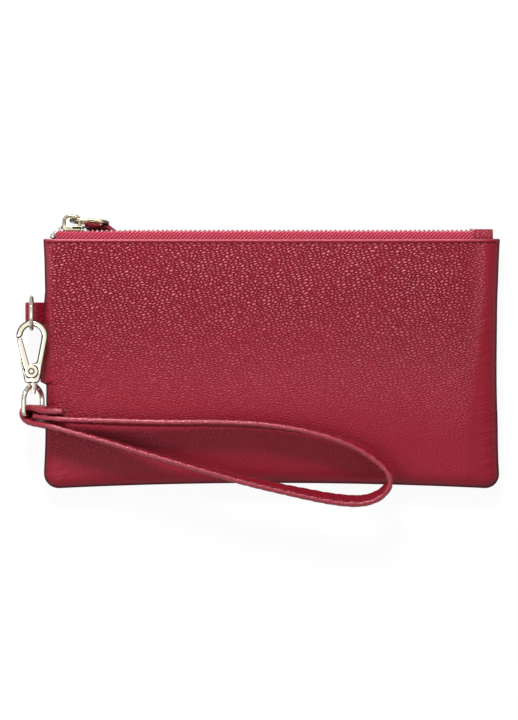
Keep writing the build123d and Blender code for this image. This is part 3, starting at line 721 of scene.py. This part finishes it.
# %% The row tree
def row_tree(name, blocky):
    """A node tree that repeats a small rounded shape along a curve."""
    tree = bpy.data.node_groups.new(name, "GeometryNodeTree")
    for label, kind in (("Path", "Geometry"), ("Step", "Float"), ("Length", "Float"), ("Width", "Float"),
                        ("Height", "Float"), ("Slant", "Float"), ("Material", "Material")):
        tree.interface.new_socket(label, in_out="INPUT", socket_type="NodeSocket" + kind)
    tree.interface.new_socket("Row", in_out="OUTPUT", socket_type="NodeSocketGeometry")

    def add(kind, inputs=None, **settings):
        return add_node(tree, kind, settings, inputs)

    given = add("NodeGroupInput")
    points = add("GeometryNodeCurveToPoints", {"Curve": given["Path"], "Length": given["Step"]},
                 mode="LENGTH")
    if blocky:
        cube = add("GeometryNodeMeshCube", {"Size": (1.16, 1.16, 1.16)})
        shape = add("GeometryNodeSubdivisionSurface",
                    {"Mesh": cube["Mesh"], "Level": 1, "Edge Crease": 0.55})[0]
    else:
        shape = add("GeometryNodeMeshUVSphere", {"Segments": 8, "Rings": 6, "Radius": 0.5})[0]
    size = add("ShaderNodeCombineXYZ",
               {"X": given["Length"], "Y": given["Width"], "Z": given["Height"]})[0]
    turn = add("FunctionNodeAlignRotationToVector", {"Vector": points["Tangent"]}, axis="X")[0]
    angles = add("ShaderNodeCombineXYZ", {"Z": given["Slant"]})[0]
    slant = add("FunctionNodeEulerToRotation", {"Euler": angles})[0]
    turn = add("FunctionNodeRotateRotation", {"Rotation": turn, "Rotate By": slant},
               rotation_space="LOCAL")[0]
    copies = add("GeometryNodeInstanceOnPoints", {
        "Points": points["Points"], "Instance": shape, "Rotation": turn, "Scale": size})[0]
    solid = add("GeometryNodeRealizeInstances", {"Geometry": copies})[0]
    smooth = add("GeometryNodeSetShadeSmooth", {"Geometry": solid})[0]
    named = add("GeometryNodeSetMaterial", {"Geometry": smooth, "Material": given["Material"]})[0]
    add("NodeGroupOutput", {"Row": named})
    return tree


tooth_row = row_tree("tooth_row", blocky=True)
stitch_row = row_tree("stitch_row", blocky=False)
print("row trees", tooth_row.name, stitch_row.name)


# %% Running the tree along a path
def curve(name, lines, kind="POLY"):
    """A curve object of straight runs, or of NURBS splines, over points in millimetres."""
    data = bpy.data.curves.new(name, "CURVE")
    data.dimensions, data.resolution_u = "3D", 16
    for line in lines:
        spline = data.splines.new(kind)
        spline.points.add(len(line) - 1)
        for point, place in zip(spline.points, line):
            point.co = (*(float(v) * MM for v in place), 1)
        if kind == "NURBS":
            spline.order_u, spline.use_endpoint_u = 3, True
    return placed(name, data)


def plain_mesh(name, source, material=None):
    """The evaluated shape of an object as a plain mesh object; the source is removed."""
    bpy.context.view_layer.update()
    ready = source.evaluated_get(bpy.context.evaluated_depsgraph_get())
    mesh = bpy.data.meshes.new_from_object(ready)
    mesh.name = name
    if material:
        mesh.materials.clear()
        mesh.materials.append(material)
    bpy.data.objects.remove(source)
    return placed(name, mesh)


def row(name, tree, lines, step, size, material, slant=0.0):
    """A row of the tree's shape along each line, as one plain mesh."""
    path = curve(name + "_path", lines)
    modifier = path.modifiers.new("row", "NODES")
    modifier.node_group = tree
    given = {s.name: s.identifier for s in tree.interface.items_tree if s.in_out == "INPUT"}
    for label, value in zip(("Step", "Length", "Width", "Height"), (step, *size)):
        modifier[given[label]] = value * MM
    modifier[given["Slant"]] = math.radians(slant)
    modifier[given["Material"]] = material
    piece = plain_mesh(name, path)
    print(name, len(piece.data.polygons), "faces")
    return piece


# %% Hem stitches
for end, line in hem_lines.items():
    hem = row("hem_stitches_" + end, stitch_row, [line], 3.2, (2.5, 0.62, 0.45), thread, -14)
    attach(hem, "pouch")


# %% [markdown]
# ## The zip
# A metal zip of this size has teeth about two millimetres apart, clamped on the edges of two
# twill tapes. The tapes come up out of the mouth and turn inwards to meet the teeth. At the left
# the chain turns down round a small bend and is sewn into the corner.

# %% Tapes
chain_right = (Vector(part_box("zip_tape_front")[1]) / MM).x
CHAIN_Y = 57.6  # the middle of the chain of teeth
CHAIN_LEFT, BEND = -94.0, 2.4  # where it starts to turn down at the left, and that radius
TAPE_LEFT, TAPE_BEND = -93.4, 1.5  # the same for the tapes
TAPE = 0.5  # thickness of a tape
TAPE_DEPTH = 1.6  # a tape lies this far below the outside of the panel it is sewn to
TAPE_FOLD = 0.75  # radius at which it turns in to the teeth
TAPE_TIP = 2.15  # how far from the middle plane it ends, inside the teeth
TAPE_FOOT = 44.4  # height of a tape's sewn edge


def tape_leg(point, side):
    """How far off the seam plane a tape stands at an (x, y) point."""
    x, y = point
    return float(pillow(np.array(x), np.array(y), side)) - TAPE_DEPTH


def tape_ring(foot, head, side):
    """The closed outline of a tape at one place: a leg from foot to head, turned in at the top."""
    foot, head = np.array(foot, float), np.array(head, float)
    out = head - foot
    length = np.linalg.norm(out)
    out /= length
    bend = TAPE_FOLD
    line = [(step, tape_leg(foot + out * step, side)) for step in np.linspace(0, length - bend, 9)]
    top = line[-1][1]
    for t in np.linspace(0, math.pi / 2, 7)[1:]:
        line.append((length - bend + bend * math.sin(t), top - bend * (1 - math.cos(t))))
    line += [(length, z) for z in np.linspace(top - bend, TAPE_TIP, 4)[1:]]
    line = np.array(line)
    slope = directions(line)
    across = np.stack([-slope[:, 1], slope[:, 0]], -1) * TAPE / 2
    ring = np.concatenate([line - across, (line + across)[::-1]])
    ring[:, 1] = seam_z + side * ring[:, 1]
    return [(*(foot + out * a), b) for a, b in ring]


def joined(first, second):
    """The first piece, with the second one's mesh moved into it."""
    build = bmesh.new()
    build.from_mesh(first.data)
    build.from_mesh(second.data)
    build.to_mesh(first.data)
    build.free()
    bpy.data.objects.remove(second)
    return first


def tape(name, side):
    """Both parts of one tape: the long straight run, and the small fan at its left end."""
    wave = 0.06 * wander(np.arange(230), 0, 9, 4.4)
    xs = np.linspace(TAPE_LEFT, chain_right, 230)
    rings = [tape_ring((x, TAPE_FOOT), (x, CHAIN_Y + w), side) for x, w in zip(xs, wave)]
    main = loft(name, rings, tape_cloth)
    middle = np.array((TAPE_LEFT, CHAIN_Y - TAPE_BEND))
    fan = []
    for turn in np.linspace(0, math.pi / 2, 9):
        out = np.array((-math.sin(turn), math.cos(turn)))
        fan.append(tape_ring(middle + out * 0.05, middle + out * TAPE_BEND, side))
    for drop in (1.0, 2.0, 4.0):
        fan.append(tape_ring(middle - (0.05, drop), middle - (TAPE_BEND, drop), side))
    return joined(main, loft(name + "_end", fan, tape_cloth))


for side, end in HALVES:
    piece = tape("tape_" + end, side)
    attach(piece, "pouch")
    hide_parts("zip_tape_" + end)


# %% Teeth
TOOTH_PITCH = 2.04  # distance from one tooth to the next in the same row
ROW_OFF = 1.55  # each row's middle lies this far from the middle plane


def chain_path(side, start, sunk):
    """The middle of one row of teeth: round the bend at the left, then straight to the right."""
    z = seam_z + side * ROW_OFF
    top = CHAIN_Y - sunk
    line = []
    for turn in np.linspace(math.radians(80), 0, 15):
        line.append((CHAIN_LEFT - BEND * math.sin(turn), top - BEND * (1 - math.cos(turn)), z))
    line.append((chain_right - 3.0, top, z))
    first, second = (np.array(point) for point in line[:2])
    ahead = (second - first) / np.linalg.norm(second - first)
    line[0] = tuple(first + ahead * start)
    return line


for side, end, start, sunk in ((1, "front", 0.0, 0.35), (-1, "rear", TOOTH_PITCH / 2, 0.75)):
    teeth = row("teeth_" + end, tooth_row, [chain_path(side, start, sunk)], TOOTH_PITCH,
                (1.2, 2.3, 1.9), tooth_metal_red_reflection)
    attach(teeth, "pouch")
    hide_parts("zip_teeth_" + end)


# %% [markdown]
# ## Cast metal with soft edges
# The slider, its ring and the snap are cast, tumbled and plated, so no edge on them is sharp. The
# frame's parts have the right sizes with crisp edges. A copy is turned into an even net of small
# squares, which a smoothing filter then rounds, as tumbling does. Smoothing thins a casting, so the
# copy is grown back by the depth of its plating.

# %% Rounded copies of the frame's metal parts
def tumbled(node, body, square, passes, material, share=1.0, grow=0.0):
    """A copy of a frame part with its edges rounded, which stands for that part.

    Its net has squares of this size, and share of their triangles is kept. It grows this much.
    """
    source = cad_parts[node]
    mesh = source.data.copy()
    build = bmesh.new()
    build.from_mesh(mesh)
    bmesh.ops.remove_doubles(build, verts=build.verts, dist=0.0005 * MM)
    build.to_mesh(mesh)
    build.free()
    work = placed(node + "_work", mesh)
    net = work.modifiers.new("net", "REMESH")
    net.mode, net.voxel_size, net.use_smooth_shade = "VOXEL", square * MM, True
    soft = work.modifiers.new("soft", "SMOOTH")
    soft.factor, soft.iterations = 0.5, passes
    if grow:
        plating = work.modifiers.new("plating", "DISPLACE")
        plating.strength, plating.mid_level = grow * MM, 0.0
    if share < 1:
        work.modifiers.new("lean", "DECIMATE").ratio = share
    piece = plain_mesh(node + "_cast", work, material)
    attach(piece, body)
    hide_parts(node)
    print(piece.name, len(piece.data.polygons), "faces")


tumbled("slider_body", "slider", 0.12, 20, slider_gold, share=0.4, grow=0.16)
tumbled("pull_ring", "pull_ring", 0.12, 16, pull_gold, share=0.5, grow=0.08)
tumbled("hook_body", "snap_hook", 0.13, 170, gold, share=0.5, grow=0.26)
tumbled("hook_gate", "snap_gate", 0.12, 60, gold, share=0.6, grow=0.13)


# %% Rings, rivets, spring and stops keep the frame's shapes
def rivet_metal(name, node, colour, dark, start, end):
    """Plate on a round rivet; it darkens outwards or inwards from start to end millimetres."""
    low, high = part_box(node)
    finish = Finish(name, Metallic=1.0, Roughness=0.15)
    x, y, _ = finish.axes(finish.place())
    across, up = x - (low[0] + high[0]) / 2, y - (low[1] + high[1]) / 2
    away = (across * across + up * up) ** 0.5
    return finish.feed(Base_Color=finish.mix(away.step(start * MM, end * MM), colour, dark))


nickel_rivet = rivet_metal("rivet_nickel", "gate_rivet", (0.9, 0.88, 0.85, 1), (0.05, 0.04, 0.035, 1),
                           0.75, 0.95)
gold_rivet = rivet_metal("rivet_gold", "swivel_rivet", (0.04, 0.03, 0.02, 1), (0.90, 0.82, 0.65, 1),
                         0.35, 0.55)
for node, finish in (("loop_ring", ring_gold), ("swivel_eye", ring_gold), ("gate_rivet", nickel_rivet),
                     ("swivel_rivet", gold_rivet), ("gate_spring", steel),
                     ("zip_top_stop_front", tooth_metal_red_reflection), ("zip_top_stop_rear", tooth_metal_red_reflection),
                     ("zip_bottom_stop", tooth_metal_red_reflection)):
    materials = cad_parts[node].data.materials
    materials.clear()
    materials.append(finish)
    print(node, finish.name)


# %% [markdown]
# ## Small leather parts
# The side loop and the tab over the zip's right end are strips of thinner leather, and a strip is
# a rounded rectangle carried along a curved line. The side loop starts inside the side seam, goes
# round the tunnel that the ring lies in, and comes back. The pull tab is a rounded copy, as the
# castings are.

# %% Strips of leather
def eased(points, count):
    """Points on a smooth line through the given ones."""
    points = np.asarray(points, float)
    padded = np.concatenate([[2 * points[0] - points[1]], points, [2 * points[-1] - points[-2]]])
    spots = np.linspace(0, len(points) - 1, count)
    result = []
    for spot in spots:
        i = min(int(spot), len(points) - 2)
        t = spot - i
        a, b, c, d = padded[i:i + 4]
        result.append(0.5 * (2 * b + (c - a) * t + (2 * a - 5 * b + 4 * c - d) * t * t
                             + (3 * b - 3 * c + d - a) * t ** 3))
    return np.array(result)


def flat_section(width, thickness):
    """A rounded rectangle as (across, through) pairs, going round once."""
    corner = thickness * 0.42
    turns = np.linspace(0, math.pi / 2, 5)
    span = np.linspace(-1, 1, 14)[1:-1] * (width / 2 - corner)
    half = [(s, thickness / 2) for s in span]
    for end in (1, -1):
        for t in turns:
            a, b = (math.sin(t), math.cos(t)) if end > 0 else (math.cos(t), -math.sin(t))
            half.append((width / 2 - corner + corner * a, (thickness / 2 - corner) * end + corner * b))
    return half + [(-a, -b) for a, b in half]


def strip(name, line, side_way, width, thickness, material):
    """A leather strip along a line; side_way is the direction of its width."""
    line = np.asarray(line, float)
    side_way = np.asarray(side_way, float)
    rings = []
    for place, way in zip(line, directions(line)):
        through = np.cross(way, side_way)
        rings.append([place + side_way * a + through * b for a, b in flat_section(width, thickness)])
    return loft(name, rings, material)


# %% Side loop
loop_line = eased([(-96.6, 7.68), (-98.6, 7.72), (-100.4, 8.35), (-102.4, 11.0), (-103.8, 12.9),
                   (-105.4, 13.35), (-107.0, 12.75), (-107.7, 11.3), (-107.72, 9.0), (-107.0, 7.55),
                   (-105.4, 7.12), (-103.0, 6.98), (-100.4, 6.55), (-98.6, 6.34), (-96.6, 6.36)], 90)
loop_strip = strip("side_loop_strip", [(x, LOOP_Y, z) for x, z in loop_line], (0, 1, 0), 9.6, 1.2,
                   trim_leather)
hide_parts("side_loop")
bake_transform(loop_strip)

# %% Tab over the right end of the zip
tab_low, tab_high = (Vector(corner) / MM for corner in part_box("zip_end_tab"))
half_tab = tab_high.z - seam_z - 0.6
tab_top = tab_high.y - 0.6
tab_side = [(half_tab, 52.4), (half_tab, 54.5), (half_tab, 56.6), (half_tab - 0.35, 57.7),
            (half_tab - 1.3, tab_top)]
tab_line = eased(tab_side + [(0, tab_top + 0.05)] + [(-z, y) for z, y in reversed(tab_side)], 60)
tab_middle = (tab_low.x + tab_high.x) / 2
end_tab = strip("end_tab_strip", [(tab_middle, y, seam_z + z) for z, y in tab_line], (1, 0, 0),
                tab_high.x - tab_low.x, 1.2, trim_leather)
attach(end_tab, "pouch")
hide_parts("zip_end_tab")

# %% Pull tab
tumbled("pull_tab", "pull_tab", 0.25, 5, trim_leather)


# %% [markdown]
# ## The wrist strap
# The strap is two plies of leather glued and sewn edge to edge, which stands on its narrow side.
# Its line is one smooth spline: from the tail's cut end, round the bar of the swivel eye, along
# the lower run, back in a tight bend and along the upper run to the cut end between the plies.
# The spline is read out as points, and a section with grooves for the stitching follows it. The
# section leans outwards in the bend, as stiff leather does.

# %% The strap's line
strap_route = [
    (-0.0914, -0.0217, 0.0220), (-0.0973, -0.0208, 0.0216), (-0.1073, -0.0189, 0.0141),
    (-0.1073, -0.0253, 0.0141), (-0.0973, -0.0275, 0.0216), (-0.0760, -0.0333, 0.0225),
    (-0.0550, -0.0396, 0.0228), (-0.0360, -0.0453, 0.0230), (-0.0135, -0.0513, 0.0228),
    (0.0090, -0.0562, 0.0224), (0.0290, -0.0602, 0.0219), (0.0428, -0.0606, 0.0216),
    (0.0516, -0.0554, 0.0217), (0.0522, -0.0476, 0.0219), (0.0415, -0.0380, 0.0223),
    (0.0240, -0.0316, 0.0228), (0.0020, -0.0276, 0.0230), (-0.0220, -0.0261, 0.0230),
    (-0.0480, -0.0264, 0.0229), (-0.0740, -0.0256, 0.0225), (-0.0973, -0.0245, 0.0216),
    (-0.1022, -0.0231, 0.0179),
]
line = plain_mesh("strap_line", curve("strap_path", [np.array(strap_route) / MM], "NURBS"))
strap_line = np.array([vertex.co for vertex in line.data.vertices]) / MM
bpy.data.objects.remove(line)
strap_run = run(strap_line)
# Two corrections: the tail lies a little lower, and the bend is a little tighter.
strap_line[:, 1] -= 0.5 * np.exp(-((strap_run - 6) / 3.5) ** 2)
strap_line[:, 0] -= 0.8 * np.exp(-((strap_run - 183) / 16) ** 2)
print("strap", len(strap_line), "points, length", round(float(strap_run[-1]), 1), "mm")


# %% Frames along the strap
def strap_frames(line):
    """For each point: the direction of the strap's width and the one through its thickness."""
    tangent = directions(line)
    at_bar = smooth_step(-line[:, 0], 95.0, 102.5)[:, None]
    width = (1 - at_bar) * np.array([0, 0, 1.0]) + at_bar * np.array([-0.6, 0, 0.8])
    outward = line - np.array([12.0, -43.0, 0.0])
    outward[:, 2] = 0
    outward -= (outward * tangent).sum(1, keepdims=True) * tangent
    outward /= np.maximum(np.linalg.norm(outward, axis=1, keepdims=True), 1e-6)
    knots = (0, 7, 14, 34, 97, 110, 125, 150, 170, 183, 190, 198, 205, 214, 232, 255, 322, 345, 360)
    leans = (12, 10, 2, 3, 4, 7, 13, 20, 22, 18, 6, -12, -18, -13, 0, 7, 7, 2, 0)
    lean = np.interp(run(line), knots, leans)
    lean = np.radians(np.convolve(np.pad(lean, 4, "edge"), np.ones(9) / 9, "valid"))[:, None]
    width = width - (width * tangent).sum(1, keepdims=True) * tangent
    width /= np.linalg.norm(width, axis=1, keepdims=True)
    width = width * np.cos(lean) + outward * np.sin(lean)
    through = np.cross(tangent, width)
    return width, through


strap_width, strap_through = strap_frames(strap_line)
print("strap frames", len(strap_width))


# %% The strap's section
def strap_section(half, thick, seam):
    """The strap's closed outline: two faces with a stitch groove near each edge, and round edges."""
    span = np.concatenate([np.linspace(-half + 0.7, -seam - 0.5, 3),
                           np.linspace(-seam - 0.3, -seam + 0.3, 5),
                           np.linspace(-seam + 0.6, seam - 0.6, 7),
                           np.linspace(seam - 0.3, seam + 0.3, 5),
                           np.linspace(seam + 0.5, half - 0.7, 3)])
    groove = 0.16 * (np.exp(-((span - seam) / 0.28) ** 2) + np.exp(-((span + seam) / 0.28) ** 2))
    puff = 0.10 * (1 - (span / half) ** 2)
    face = [(a, thick + p - g) for a, g, p in zip(span, groove, puff)]
    edge = [(half - 0.9 + 0.9 * math.sin(t), thick * math.cos(t)) for t in np.linspace(0.12, 1.45, 9)]
    back = [(a, -b) for a, b in reversed(edge)]
    first_half = face + edge + [(half - 0.03, 0.0)] + back
    return first_half + [(-a, -b) for a, b in first_half]


HALF_STRAP, PLY, SEAM, STITCH = 4.7, 1.12, 3.55, 5.6  # half width, ply, stitch line, stitch length
section = strap_section(HALF_STRAP, PLY, SEAM)
pucker = 1 - 0.10 * np.cos(2 * math.pi * strap_run / STITCH)
rings = [[p + w * a + n * b * k for a, b in section]
         for p, w, n, k in zip(strap_line, strap_width, strap_through, pucker)]
strap = loft("strap_leather", rings, strap_leather)
stitch_lines = [strap_line + strap_width * a + strap_through * b
                for a in (-SEAM, SEAM) for b in (-PLY, PLY)]
strap_stitches = row("strap_stitches", stitch_row, stitch_lines, STITCH, (3.4, 0.5, 0.5),
                     strap_thread)
for piece in (strap, strap_stitches):
    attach(piece, "wrist_strap")
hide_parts("wrist_strap")
